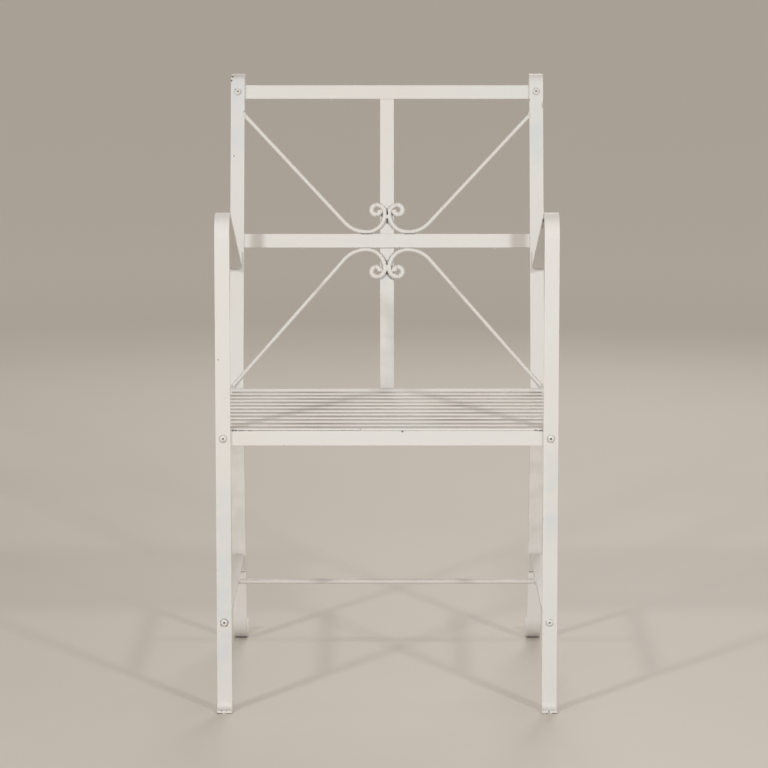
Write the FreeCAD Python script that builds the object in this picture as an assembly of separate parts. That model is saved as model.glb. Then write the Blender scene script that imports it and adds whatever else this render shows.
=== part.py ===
import FreeCAD
import Part
import math
import os

# Garden armchair of bent flat iron bar and round iron rod, bolted and welded, then painted.
# Millimetres, +Z up. The chair faces -Y and is the same on its left and its right, as seen from
# its front. The sizes below are measured from the front face of the front legs, on the floor,
# and the finished pieces are moved so that the origin is on the floor under the middle of the chair.

Vector = FreeCAD.Vector

# Flat bar and round rod that the chair is made of
bar_width = 22.0
bar_thickness = 5.0
bar_edge_round = 0.8
slat_width = 20.0
slat_thickness = 3.0
slat_edge_round = 0.5
scroll_rod_diameter = 6.0
cross_rod_diameter = 8.0

# Width of the frame
overall_width = 500.0
post_inset = 3.0            # a back post stands this much further in than its front leg
rail_end_setback = 2.0      # a rail ends this much short of the outer face of what it is bolted to

# Front legs and armrests
toe_bend_radius = 13.0
toe_flat = 3.0
arm_height = 735.0          # top of the armrest at the front
arm_bend_radius = 32.0
arm_rear_height = 610.0     # where the armrest meets its tab on the back post
arm_tab_length = 25.0
arm_bolt_up_tab = 15.0
tab_bend_radius = 6.0

# Back posts
seat_depth = 395.0          # front face of the front legs to the front face of the back posts
post_straight_half = 7.0    # upright part of the post behind the rear seat rail, up and down
post_bend_radius = 60.0
back_lean = 14.0
rear_leg_rake = 12.3
foot_bend_radius = 44.0
foot_tip_radius = 25.0
foot_tip_turn = 85.0
foot_wear = 0.3             # the foot is worn flat where it stands
curl_above_bolt = 12.0
curl_radius = 17.0
curl_turn = 200.0

# Back rails and centre strip
mid_rail_height = 650.0
top_rail_height = 880.0
strip_straight_below_rail = 66.0
strip_bend_radius = 60.0
strip_foot_above_rail = 8.0

# Scrolled rods, from the edge of the middle rail outwards and inwards
sweep_bend_radius = 46.0
scroll_radii = (29.6, 13.7, 8.3, 7.6, 6.5)
scroll_last_turn = 95.0
upper_rod_end_below_rail = 27.0
lower_rod_end_above_rail = 5.0
lower_rod_end_inset = 6.0   # end of the lower rod, in from the outer edge of the post
lower_rod_flat = 0.8        # depth of the flat on a lower rod, where it lies on the post

# Seat
front_rail_height = 407.5
rear_rail_rise = 5.0        # the rear seat rail is this much higher than the front one
slat_count = 11
slat_end_inset = 8.0        # a slat ends this much short of the outer face of the leg
first_slat_setback = 3.0    # from the front face of the front seat rail

# Stretchers
stretcher_height = 147.5
stretcher_tab_length = 27.5
stretcher_bolt_height = 134.0
cross_rod_back = 240.0      # from the front face of the front legs

# Fasteners, 6 mm button head socket screws
bolt_diameter = 6.0
bolt_hole_clearance = 0.5
head_diameter = 10.5
head_height = 3.2
head_rim = 0.7
head_crown_diameter = 5.2
head_bulge = 0.4            # of the head's shoulder, beyond a straight slope
socket_across_flats = 4.0
socket_depth = 1.9
washer_diameter = 12.0
washer_hole_clearance = 0.4
washer_thickness = 1.6
nut_across_flats = 10.0
nut_height = 5.0
nut_bore_clearance = 0.1
bolt_tail = 2.0
tip_chamfer = 0.6

# What follows from the sizes above
half_bar = bar_thickness / 2
rod_radius = scroll_rod_diameter / 2
leg_outer_x = overall_width / 2
leg_centre_x = leg_outer_x - bar_width / 2
leg_inner_x = leg_outer_x - bar_width
post_outer_x = leg_outer_x - post_inset
post_centre_x = post_outer_x - bar_width / 2
post_inner_x = post_outer_x - bar_width
tab_bolt_x = (leg_centre_x + post_centre_x) / 2
post_centre_y = seat_depth + half_bar
rear_rail_height = front_rail_height + rear_rail_rise
sides = {"left": -1, "right": 1}
largest_arc = 120.0         # degrees; a longer bend is made of several arcs


class BentPath:
    """Centreline of a bar or rod in one plane, made as it is bent: runs and bends in turn.

    A station is (a, b, heading), with the heading in degrees from the a axis towards the b axis.
    A piece is two stations for a run and three, start, middle and end, for a bend.
    """

    def __init__(self, a, b, heading):
        self.station = (a, b, heading)
        self.pieces = []

    def ahead(self, distance):
        a, b, heading = self.station
        angle = math.radians(heading)
        return (a + distance * math.cos(angle), b + distance * math.sin(angle), heading)

    def run(self, length):
        end = self.ahead(length)
        self.pieces.append((self.station, end))
        self.station = end
        return self

    def bend(self, radius, turn):
        """A positive turn goes from the a axis towards the b axis."""
        a, b, heading = self.station
        side = math.copysign(radius, turn)

        def after(part):
            now = math.radians(heading + turn * part)
            start = math.radians(heading)
            return (a + side * (math.sin(now) - math.sin(start)),
                    b - side * (math.cos(now) - math.cos(start)),
                    heading + turn * part)

        steps = math.ceil(abs(turn) / largest_arc)
        for step in range(steps):
            marks = [(step + half) / steps for half in (0, 0.5, 1)]
            self.pieces.append(tuple(after(mark) for mark in marks))
        self.station = after(1.0)
        return self


def joined(backwards, forwards):
    """One path from two that start at the same station and go opposite ways."""
    turned = []
    for piece in reversed(backwards.pieces):
        turned.append(tuple((a, b, heading + 180.0) for a, b, heading in reversed(piece)))
    return turned + forwards.pieces


def through_corners(corners, radii):
    """Runs through the corner points, with a bend of the given radius at each inner corner."""
    legs = []
    for start, end in zip(corners, corners[1:]):
        heading = math.degrees(math.atan2(end[1] - start[1], end[0] - start[0]))
        legs.append((math.dist(start, end), heading))
    path = BentPath(*corners[0], legs[0][1])
    used = 0.0
    for (length, heading), (_, next_heading), radius in zip(legs, legs[1:], radii):
        turn = (next_heading - heading + 180.0) % 360.0 - 180.0
        tangent = radius * math.tan(math.radians(abs(turn) / 2))
        path.run(length - used - tangent)
        path.bend(radius, turn)
        used = tangent
    path.run(legs[-1][0] - used)
    return path.pieces


def beside(station, distance):
    """The point (a, b) at this distance to the left of the path."""
    a, b, heading = station
    angle = math.radians(heading)
    return a - distance * math.sin(angle), b + distance * math.cos(angle)


def edge_of(piece, distance, to_space):
    """The line or arc that runs beside one piece of a path."""
    points = [to_space(*beside(station, distance)) for station in piece]
    if len(points) == 2:
        return Part.LineSegment(*points).toShape()
    return Part.Arc(*points).toShape()


def side_view(y, z):
    """The plane in which the flat bars are bent."""
    return Vector(0, y, z)


def rounded(solid, radius, is_long_edge):
    """Rounds a bar's long edges, and leaves its sawn ends square."""
    edges = [edge for edge in solid.Edges if is_long_edge(edge)]
    return solid.makeFillet(radius, edges)


def bent_bar(pieces, centre_x):
    """Flat bar bent on the flat, standing across X, with its long edges rounded."""
    near = [edge_of(piece, half_bar, side_view) for piece in pieces]
    far = [edge_of(piece, -half_bar, side_view) for piece in pieces]
    start_cap = Part.LineSegment(side_view(*beside(pieces[0][0], -half_bar)),
                                 side_view(*beside(pieces[0][0], half_bar))).toShape()
    end_cap = Part.LineSegment(side_view(*beside(pieces[-1][-1], half_bar)),
                               side_view(*beside(pieces[-1][-1], -half_bar))).toShape()
    outline = Part.Wire(near + [end_cap] + far[::-1] + [start_cap])
    bar = Part.Face(outline).extrude(Vector(bar_width, 0, 0))
    bar = rounded(bar, bar_edge_round, lambda edge: edge.BoundBox.XLength < bar_width / 2)
    bar.translate(Vector(centre_x - bar_width / 2, 0, 0))
    return bar


def straight_bar(length, depth, height, edge_round):
    """Flat bar along X, centred on the origin, with its four long edges rounded."""
    bar = Part.makeBox(length, depth, height, Vector(-length / 2, -depth / 2, -height / 2))
    return rounded(bar, edge_round, lambda edge: edge.BoundBox.XLength > length / 2)


def rod_along(pieces, to_space, diameter):
    """Round rod along a path of runs and bends."""
    edges = [edge_of(piece, 0.0, to_space) for piece in pieces]
    first = edges[0]
    start = first.valueAt(first.FirstParameter)
    direction = first.tangentAt(first.FirstParameter)
    section = Part.Wire(Part.makeCircle(diameter / 2, start, direction))
    return Part.Wire(edges).makePipeShell([section], True, False)


def tangent_heading(centre, radius, point):
    """Heading from the underside of a circle to a point, along the line that touches the circle."""
    away = math.dist(centre, point)
    slope = math.atan2(point[1] - centre[1], point[0] - centre[0])
    return math.degrees(slope + math.asin(radius / away))


# The back leans about the point where its line meets the upright line of the posts at the seat.
# Sizes on the back are given in its own plane: across X, back Y and up Z, from that point.
lean = math.radians(back_lean)
post_bend_tangent = post_bend_radius * math.tan(lean / 2)
pivot_height = rear_rail_height + post_straight_half + post_bend_tangent


def on_back(back, up):
    """The (y, z) of a point of the back, given in the back's own plane."""
    return (post_centre_y + back * math.cos(lean) + up * math.sin(lean),
            pivot_height - back * math.sin(lean) + up * math.cos(lean))


def up_the_back(height, back):
    """How far up the back a point lies that is at this height above the floor."""
    return (height - pivot_height + back * math.sin(lean)) / math.cos(lean)


def lean_back(shape):
    """Tilt a shape that was made in the back's own plane, and put it in its place."""
    shape.rotate(Vector(0, 0, 0), Vector(1, 0, 0), -back_lean)
    shape.translate(Vector(0, post_centre_y, pivot_height))
    return shape


behind_posts = bar_thickness
before_posts = -bar_thickness
mid_rail_up = up_the_back(mid_rail_height, 0.0)
top_rail_up = up_the_back(top_rail_height, behind_posts)
arm_tab_up = up_the_back(arm_rear_height, before_posts)


def post_upper():
    path = BentPath(post_centre_y, rear_rail_height, 90.0)
    path.run(post_straight_half)
    path.bend(post_bend_radius, -back_lean)
    path.run(top_rail_up + curl_above_bolt - post_bend_tangent)
    return path.bend(curl_radius, -curl_turn)


def post_lower():
    """From the seat down to the foot, which meets the floor at the bottom of its bend."""
    rake = math.radians(rear_leg_rake)
    path = BentPath(post_centre_y, rear_rail_height, -90.0)
    path.run(post_straight_half)
    path.bend(post_bend_radius, rear_leg_rake)
    foot_drop = foot_bend_radius * (1 - math.sin(rake))
    leg_drop = path.station[1] - foot_drop - half_bar + foot_wear
    path.run(leg_drop / math.cos(rake))
    path.bend(foot_bend_radius, 90.0 - rear_leg_rake)
    return path.bend(foot_tip_radius, foot_tip_turn)


def rear_leg_y(height, off_centre):
    """Y of the straight part of the rear leg at a height, this far behind its centreline."""
    straight_top = post_lower().pieces[1][-1]
    rake = math.radians(rear_leg_rake)
    return (straight_top[0] + (straight_top[1] - height) * math.tan(rake)
            + off_centre / math.cos(rake))


def leg_and_arm_path():
    """Toe, leg, top bend, sloping arm and the tab that stands against the back post."""
    bend_centre = (half_bar + arm_bend_radius, arm_height - half_bar - arm_bend_radius)
    tab_corner = on_back(before_posts, arm_tab_up)
    tab_end = on_back(before_posts, arm_tab_up + arm_tab_length)
    reach = tab_corner[0] - bend_centre[0]
    drop = bend_centre[1] - tab_corner[1]
    slope = math.atan2(drop, reach) + math.asin(arm_bend_radius / math.hypot(reach, drop))
    arm_corner = (half_bar, tab_corner[1] + (tab_corner[0] - half_bar) * math.tan(slope))
    toe_end = (half_bar - toe_bend_radius - toe_flat, half_bar)
    toe_corner = (half_bar, half_bar)
    corners = [toe_end, toe_corner, arm_corner, tab_corner, tab_end]
    return through_corners(corners, [toe_bend_radius, arm_bend_radius, tab_bend_radius])


def side_stretcher_path():
    """Flat on its way back, with a tab bent down at the front leg and one at the rear leg."""
    rake = math.radians(rear_leg_rake)
    front_y = bar_thickness + half_bar
    rear_y = rear_leg_y(stretcher_height, -bar_thickness)
    front_end = (front_y, stretcher_height - stretcher_tab_length)
    front_corner = (front_y, stretcher_height)
    rear_corner = (rear_y, stretcher_height)
    rear_end = (rear_y + stretcher_tab_length * math.sin(rake),
                stretcher_height - stretcher_tab_length * math.cos(rake))
    corners = [front_end, front_corner, rear_corner, rear_end]
    return through_corners(corners, [tab_bend_radius, tab_bend_radius])


def centre_strip_path():
    """Down behind the middle rail, then forward to stand upright behind the rear seat rail."""
    top = on_back(behind_posts, top_rail_up - bar_width / 2)
    below_rail = on_back(behind_posts, mid_rail_up - strip_straight_below_rail)
    foot_y = seat_depth + half_bar
    foot_top = (foot_y, rear_rail_height + bar_width / 2 + strip_foot_above_rail)
    foot_end = (foot_y, rear_rail_height - bar_width / 2)
    return through_corners([top, below_rail, foot_top, foot_end],
                           [strip_bend_radius, strip_bend_radius])


# Scrolled rods. Each is the same path outwards (a) and away from the middle rail (b).
strip_face_back = behind_posts - half_bar
rod_plane_back = strip_face_back - rod_radius
rod_on_rail = bar_width / 2 + rod_radius
sweep_start = scroll_radii[0] + rod_radius
upper_rod_rise = top_rail_up - bar_width / 2 - upper_rod_end_below_rail - mid_rail_up
lower_rod_drop = (mid_rail_up - lower_rod_end_above_rail
                  - up_the_back(rear_rail_height + bar_width / 2, before_posts))


def rod_path(end_out, end_away, spare):
    """From the eye of the scroll, along the middle rail and straight out to the end, and past it."""
    inwards = BentPath(sweep_start, rod_on_rail, 180.0)
    for radius in scroll_radii[:-1]:
        inwards.bend(radius, -90.0)
    inwards.bend(scroll_radii[-1], -scroll_last_turn)
    sweep_centre = (sweep_start, rod_on_rail + sweep_bend_radius)
    slope = tangent_heading(sweep_centre, sweep_bend_radius, (end_out, end_away))
    outwards = BentPath(sweep_start, rod_on_rail, 0.0)
    outwards.bend(sweep_bend_radius, slope)
    length = math.dist(outwards.station[:2], (end_out, end_away))
    outwards.run(length + spare)
    return joined(inwards, outwards)


def rod_view(side, away):
    """Turns the path's (a, b) into the back's own plane, on one side and above or below the rail."""
    def to_space(a, b):
        return Vector(side * a, rod_plane_back, mid_rail_up + away * b)
    return to_space


def box_beyond(side, x):
    """Everything on one side of the chair that is further out than x."""
    size = 4 * overall_width
    start_x = x if side > 0 else -x - size
    return Part.makeBox(size, size, size, Vector(start_x, -size / 2, -size / 2))


def upper_scroll_rod(side):
    """Its end is cut along the inner edge of the post and butts against it."""
    pieces = rod_path(post_inner_x, upper_rod_rise, bar_width)
    rod = lean_back(rod_along(pieces, rod_view(side, 1), scroll_rod_diameter))
    return rod.cut(box_beyond(side, post_inner_x))


def lower_scroll_rod(side, post):
    """It tips forward a little, so that its end lies on the front face of the post."""
    end_out = post_outer_x - lower_rod_end_inset
    pieces = rod_path(end_out, lower_rod_drop, 0.0)
    rod = rod_along(pieces, rod_view(side, -1), scroll_rod_diameter)
    forward = rod_plane_back + half_bar + rod_radius - lower_rod_flat
    tip = math.degrees(math.atan2(forward, lower_rod_drop - rod_on_rail))
    rod.rotate(Vector(0, rod_plane_back, mid_rail_up - rod_on_rail), Vector(1, 0, 0), -tip)
    return lean_back(rod).cut(post)


def seat_slat(number):
    """Slats are evenly spaced between the front of the seat and the rear seat rail."""
    front = bar_thickness + first_slat_setback
    pitch = (seat_depth - bar_thickness - front) / slat_count
    slat = straight_bar(overall_width - 2 * slat_end_inset, slat_width, slat_thickness,
                        slat_edge_round)
    middle_y = front + slat_width / 2 + number * pitch
    middle_z = front_rail_height + bar_width / 2 + slat_thickness / 2
    slat.translate(Vector(0, middle_y, middle_z))
    return slat


def across_rail(half_length, y, z):
    """Seat rail on edge, straight across the chair."""
    rail = straight_bar(2 * half_length, bar_thickness, bar_width, bar_edge_round)
    rail.translate(Vector(0, y, z))
    return rail


def seat_side_rail(side):
    """On edge under the ends of the slats, from the front seat rail to the rear one."""
    front = 2 * bar_thickness
    back = seat_depth - bar_thickness
    rail = straight_bar(back - front, bar_thickness, bar_width, bar_edge_round)
    rail.rotate(Vector(0, 0, 0), Vector(0, 0, 1), 90)
    centre_x = side * (post_inner_x - half_bar)
    rail.translate(Vector(centre_x, (front + back) / 2, front_rail_height))
    return rail


def back_rail(half_length, back, up):
    """Rail of the back, leaning with it."""
    rail = straight_bar(2 * half_length, bar_thickness, bar_width, bar_edge_round)
    rail.translate(Vector(0, back, up))
    return lean_back(rail)


# Fasteners. Each is made with its bearing face on the origin and its head upwards, and is then
# put on the outer bar's face with its head pointing outwards.
grip = 2 * bar_thickness
tail_end = grip + washer_thickness + nut_height + bolt_tail


def hexagon(across_flats, height):
    radius = across_flats / math.sqrt(3)
    corners = [Vector(radius * math.cos(math.radians(60 * n)), radius * math.sin(math.radians(60 * n)), 0)
               for n in range(7)]
    return Part.Face(Part.makePolygon(corners)).extrude(Vector(0, 0, height))


def bolt():
    """Button head screw with a hexagon socket, long enough for its washer and nut."""
    shank_radius = bolt_diameter / 2
    rim = head_diameter / 2
    crown = head_crown_diameter / 2
    slope = Vector(crown - rim, 0, head_height - head_rim)
    outwards = Vector(slope.z, 0, -slope.x).normalize()
    shoulder = Vector(rim, 0, head_rim) + slope / 2 + outwards * head_bulge
    points = [Vector(0, 0, head_height), Vector(0, 0, -tail_end),
              Vector(shank_radius - tip_chamfer, 0, -tail_end),
              Vector(shank_radius, 0, -tail_end + tip_chamfer),
              Vector(shank_radius, 0, 0), Vector(rim, 0, 0), Vector(rim, 0, head_rim)]
    edges = [Part.LineSegment(a, b).toShape() for a, b in zip(points, points[1:])]
    edges.append(Part.Arc(points[-1], shoulder, Vector(crown, 0, head_height)).toShape())
    edges.append(Part.LineSegment(Vector(crown, 0, head_height), points[0]).toShape())
    body = Part.Face(Part.Wire(edges)).revolve(Vector(0, 0, 0), Vector(0, 0, 1), 360)
    socket = hexagon(socket_across_flats, socket_depth)
    socket.translate(Vector(0, 0, head_height - socket_depth))
    return body.cut(socket)


def washer():
    hole = bolt_diameter / 2 + washer_hole_clearance
    ring = Part.makeCylinder(washer_diameter / 2, washer_thickness)
    ring = ring.cut(Part.makeCylinder(hole, washer_thickness))
    ring.translate(Vector(0, 0, -grip - washer_thickness))
    return ring


def nut():
    """Hexagon with its corners turned down at both ends."""
    corner = nut_across_flats / math.sqrt(3)
    flat = nut_across_flats / 2
    turned = (corner - flat) * math.tan(math.radians(30))
    middle = Part.makeCylinder(corner, nut_height - 2 * turned, Vector(0, 0, turned))
    low = Part.makeCone(flat, corner, turned)
    high = Part.makeCone(corner, flat, turned, Vector(0, 0, nut_height - turned))
    body = hexagon(nut_across_flats, nut_height).common(middle.fuse([low, high]))
    body = body.cut(Part.makeCylinder(bolt_diameter / 2 + nut_bore_clearance, nut_height))
    body.translate(Vector(0, 0, -grip - washer_thickness - nut_height))
    return body


def bolt_hole():
    hole = Part.makeCylinder((bolt_diameter + bolt_hole_clearance) / 2, 2 * tail_end)
    hole.translate(Vector(0, 0, -tail_end))
    return hole


def tilted_place(x, y, z, outward_heading):
    """A bolt's place: its bearing face's centre and which way its head points in the side plane."""
    angle = math.radians(outward_heading)
    outward = Vector(0, math.cos(angle), math.sin(angle))
    return FreeCAD.Placement(Vector(x, y, z), FreeCAD.Rotation(Vector(0, 0, 1), outward))


def both_sides(x, y, z, outward_heading):
    return [tilted_place(side * x, y, z, outward_heading) for side in sides.values()]


def placed(shape, places):
    """One copy of a shape at each place."""
    copies = []
    for place in places:
        copy = shape.copy()
        copy.Placement = place.multiply(copy.Placement)
        copies.append(copy)
    return copies


towards_front = 180.0
towards_back = 0.0
leg_back_face = bar_thickness / 2
rear_bolt_y = rear_leg_y(stretcher_bolt_height, leg_back_face)
bolt_places = {
    "top_rail": both_sides(post_centre_x, *on_back(-half_bar, top_rail_up), towards_front - back_lean),
    "arm": both_sides(tab_bolt_x, *on_back(before_posts - half_bar, arm_tab_up + arm_bolt_up_tab),
                      towards_front - back_lean),
    "seat_front": both_sides(leg_centre_x, 0.0, front_rail_height, towards_front),
    "seat_rear": both_sides(post_centre_x, seat_depth + bar_thickness, rear_rail_height, towards_back),
    "stretcher_front": both_sides(leg_centre_x, 0.0, stretcher_bolt_height, towards_front),
    "stretcher_rear": both_sides(tab_bolt_x, rear_bolt_y, stretcher_bolt_height,
                                 towards_back + rear_leg_rake),
}


def drilled(shape, *joints):
    """Cuts the bolt holes of the named joints."""
    holes = []
    for joint in joints:
        holes += placed(bolt_hole(), bolt_places[joint])
    return shape.cut(holes)


def build_frame():
    nodes = {}
    foot_cut = Part.makeBox(2 * overall_width, 4 * seat_depth, seat_depth)
    foot_cut.translate(Vector(-overall_width, -seat_depth, -seat_depth))
    post_path = joined(post_upper(), post_lower())
    for name, side in sides.items():
        leg = bent_bar(leg_and_arm_path(), side * leg_centre_x)
        nodes[name + "_leg_and_arm"] = drilled(leg, "arm", "seat_front", "stretcher_front")
        post = bent_bar(post_path, side * post_centre_x)
        post = drilled(post, "top_rail", "arm", "seat_rear", "stretcher_rear")
        nodes[name + "_back_post"] = post.cut(foot_cut)
    return nodes


def build_back(frame):
    nodes = {}
    top_rail = back_rail(post_outer_x - rail_end_setback, behind_posts, top_rail_up)
    nodes["top_back_rail"] = drilled(top_rail, "top_rail")
    nodes["middle_back_rail"] = back_rail(post_inner_x, 0.0, mid_rail_up)
    nodes["centre_back_strip"] = bent_bar(centre_strip_path(), 0.0)
    for name, side in sides.items():
        nodes["upper_" + name + "_scroll_rod"] = upper_scroll_rod(side)
        nodes["lower_" + name + "_scroll_rod"] = lower_scroll_rod(side, frame[name + "_back_post"])
    return nodes


def build_seat():
    nodes = {}
    front_rail = across_rail(leg_outer_x - rail_end_setback, bar_thickness + half_bar, front_rail_height)
    rear_rail = across_rail(post_outer_x - rail_end_setback, seat_depth - half_bar, rear_rail_height)
    nodes["front_seat_rail"] = drilled(front_rail, "seat_front")
    nodes["rear_seat_rail"] = drilled(rear_rail, "seat_rear")
    for name, side in sides.items():
        nodes[name + "_seat_side_rail"] = seat_side_rail(side)
    for number in range(slat_count):
        nodes["seat_slat_%02d" % (number + 1)] = seat_slat(number)
    return nodes


def build_stretchers():
    nodes = {}
    for name, side in sides.items():
        stretcher = bent_bar(side_stretcher_path(), side * leg_centre_x)
        nodes[name + "_side_stretcher"] = drilled(stretcher, "stretcher_front", "stretcher_rear")
    nodes["cross_stretcher_rod"] = Part.makeCylinder(
        cross_rod_diameter / 2, 2 * leg_inner_x,
        Vector(-leg_inner_x, cross_rod_back, stretcher_height), Vector(1, 0, 0))
    return nodes


def build_fasteners():
    nodes = {}
    for joint, places in bolt_places.items():
        nodes[joint + "_bolts"] = Part.makeCompound(placed(bolt(), places))
        nodes[joint + "_washers"] = Part.makeCompound(placed(washer(), places))
        nodes[joint + "_nuts"] = Part.makeCompound(placed(nut(), places))
    return nodes


def middle_of(nodes):
    """Halfway between the tips of the toes and the backmost point of the back posts."""
    names = ("left_leg_and_arm", "left_back_post")
    boxes = [nodes[name].optimalBoundingBox(False, False) for name in names]
    return (min(box.YMin for box in boxes) + max(box.YMax for box in boxes)) / 2


nodes = build_frame()
nodes.update(build_back(nodes))
for build in (build_seat, build_stretchers, build_fasteners):
    nodes.update(build())

os.makedirs("parts", exist_ok=True)
to_origin = Vector(0, -middle_of(nodes), 0)
for name, shape in nodes.items():
    shape.translate(to_origin)
    shape.exportStep("parts/" + name + ".step")
    print(name, "solids", len(shape.Solids), "valid", shape.isValid(), "volume %.1f" % shape.Volume)
print(len(nodes), "nodes")
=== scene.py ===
import math
import bpy
import numpy as np
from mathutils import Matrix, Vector


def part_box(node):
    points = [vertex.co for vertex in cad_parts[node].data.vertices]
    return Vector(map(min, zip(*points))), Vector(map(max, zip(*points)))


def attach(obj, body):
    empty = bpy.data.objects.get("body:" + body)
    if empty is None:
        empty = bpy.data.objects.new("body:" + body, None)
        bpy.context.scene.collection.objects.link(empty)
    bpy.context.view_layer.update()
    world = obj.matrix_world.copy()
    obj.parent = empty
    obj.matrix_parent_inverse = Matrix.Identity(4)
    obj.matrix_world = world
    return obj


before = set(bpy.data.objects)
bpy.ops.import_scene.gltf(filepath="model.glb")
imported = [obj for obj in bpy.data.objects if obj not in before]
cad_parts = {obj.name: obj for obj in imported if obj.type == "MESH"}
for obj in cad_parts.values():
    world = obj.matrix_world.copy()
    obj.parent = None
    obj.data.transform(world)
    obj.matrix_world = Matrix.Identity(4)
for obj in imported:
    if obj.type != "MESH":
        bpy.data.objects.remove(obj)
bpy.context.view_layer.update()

# Garden armchair of bent flat bar and round rod, painted cream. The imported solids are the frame,
# and this script adds the paint, the weld beads, the screw threads and the runs in the paint.
# Lengths in the dictionaries are millimetres; the meshes are in metres, in the frame's own place.
mm = 0.001
print("frame loaded:", len(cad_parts), "nodes")

# The back leans about this line, as it does in the solids
backPlane = {"y": 129.41, "z": 426.867, "lean": 14.0, "midRailUp": 229.964, "topRailUp": 468.252}
# the bars, and where they are: the front faces of the legs and the rows of the seat
barSize = {"width": 22.0, "halfThickness": 2.5, "postInnerX": 225.0, "legX": 239.0, "postX": 236.0,
           "tabX": 237.5}
legFace = -268.1
toeTip = -281.4
seatRail = {"frontZ": 407.5, "rearZ": 412.5}
slatRow = {"centre": -250.09, "pitch": 34.727, "half": 10.0, "count": 11}


# Meshes

def onBack(x, back, up):
    # (x, y, z) = pivot + across * x + backwards * back + upwards * up, with both turned by the lean
    lean = math.radians(backPlane["lean"])
    x, back, up = np.broadcast_arrays(*(np.asarray(v, float) for v in (x, back, up)))
    return np.stack([x, backPlane["y"] + back * math.cos(lean) + up * math.sin(lean),
                     backPlane["z"] - back * math.sin(lean) + up * math.cos(lean)], -1)


def joinMeshes(parts):
    # all the points in one array, and each part's faces counted on from the points before them
    starts = np.cumsum([0] + [len(points) for points, blocks in parts])
    blocks = [block + start for start, (points, found) in zip(starts, parts) for block in found]
    return np.concatenate([points for points, found in parts]), sum((block.tolist() for block in blocks), [])


def newObject(name, data):
    # an object in the scene for a mesh, a lamp or the camera
    made = bpy.data.objects.new(name, data)
    bpy.context.scene.collection.objects.link(made)
    return made


def newMesh(name, points, faces, material):
    mesh = bpy.data.meshes.new(name)
    mesh.from_pydata(points.tolist(), [], faces)
    mesh.materials.append(material)
    return newObject(name, mesh)


def makePiece(name, parts, material):
    points, faces = joinMeshes(parts)
    piece = newMesh(name, points * mm, faces, material)
    piece.data.polygons.foreach_set("use_smooth", np.ones(len(faces), bool))
    piece.data.update()
    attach(piece, "root")
    print("piece", name, len(faces), "faces")


def bothSides(make):
    return [make(side) for side in (-1, 1)]


def tube(centres, radii, squash=1.0, reference=(0, 0, 1), around=12, closed=False):
    # point(i, j) = centre(i) + radius(i) * (across(i) * cos(angle j) + squash * beside(i) * sin(angle j)),
    # with across(i) square to the path and nearest to the reference direction
    n = len(centres)
    ahead = np.roll(centres, -1, 0) - np.roll(centres, 1, 0) if closed else np.gradient(centres, axis=0)
    ahead /= np.linalg.norm(ahead, axis=1, keepdims=True)
    up = np.broadcast_to(np.asarray(reference, float), centres.shape)
    across = up - (up * ahead).sum(1, keepdims=True) * ahead
    across /= np.linalg.norm(across, axis=1, keepdims=True)
    beside = np.cross(ahead, across)
    angle = np.arange(around) / around * 2 * math.pi
    ring = (np.cos(angle)[None, :, None] * across[:, None]
            + squash * np.sin(angle)[None, :, None] * beside[:, None])
    points = (centres[:, None] + np.asarray(radii)[:, None, None] * ring).reshape(-1, 3)
    rows = n if closed else n - 1
    i, j = np.meshgrid(np.arange(rows), np.arange(around), indexing="ij")
    k, after = (j + 1) % around, (i + 1) % n
    quads = np.stack([i * around + j, i * around + k, after * around + k, after * around + j], -1)
    if closed:
        return points, [quads.reshape(-1, 4)]
    j = np.arange(around)
    k, last = (j + 1) % around, (n - 1) * around
    nearCap = np.stack([np.full(around, n * around), k, j], -1)
    farCap = np.stack([np.full(around, n * around + 1), last + j, last + k], -1)
    return np.concatenate([points, centres[:1], centres[-1:]]), [quads.reshape(-1, 4), nearCap, farCap]


def smoothNoise(count, knots, seed):
    # random heights between -1 and 1 at a few knots, joined by cosine steps
    heights = np.random.default_rng(seed).uniform(-1, 1, knots + 1)
    place = np.linspace(0, knots, count)
    low = np.minimum(place.astype(int), knots - 1)
    part = (1 - np.cos((place - low) * math.pi)) / 2
    return heights[low] * (1 - part) + heights[low + 1] * part


def step(low, high, value):
    # 0 below low, 1 above high, smooth between
    part = np.clip((value - low) / (high - low), 0, 1)
    return part * part * (3 - 2 * part)


weldBead = {"ripplePitch": 1.3, "rippleDepth": 0.10, "lumps": 0.14, "lumpLength": 4.0, "stepsPerRipple": 5,
            "around": 12, "short": 6.0, "endLength": 1.3, "thinnest": 0.004, "ringSquash": 0.9}


def bead(start, end, radius, squash=0.75, reference=(0, 0, 1), seed=1):
    # centre(s) runs from start to end; radius(s) = radius * rounded ends * (1 + ripples + lumps)
    start, end = np.asarray(start, float), np.asarray(end, float)
    length = np.linalg.norm(end - start)
    count = max(9, int(length / weldBead["ripplePitch"] * weldBead["stepsPerRipple"]))
    s = np.linspace(0, 1, count)
    if length < weldBead["short"] * radius:
        s = (1 - np.cos(np.linspace(0, math.pi, count))) / 2
    toEnd = np.minimum(s, 1 - s) * length
    ends = 1 - np.clip(1 - toEnd / (weldBead["endLength"] * radius), 0, 1) ** 2
    ends = np.sqrt(np.clip(ends, weldBead["thinnest"], 1))
    ripples = weldBead["rippleDepth"] * np.cos(s * length / weldBead["ripplePitch"] * 2 * math.pi)
    lumps = weldBead["lumps"] * smoothNoise(count, max(3, int(length / weldBead["lumpLength"])), seed)
    centres = start + s[:, None] * (end - start)
    return tube(centres, radius * ends * (1 + ripples + lumps), squash, reference, weldBead["around"])


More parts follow.
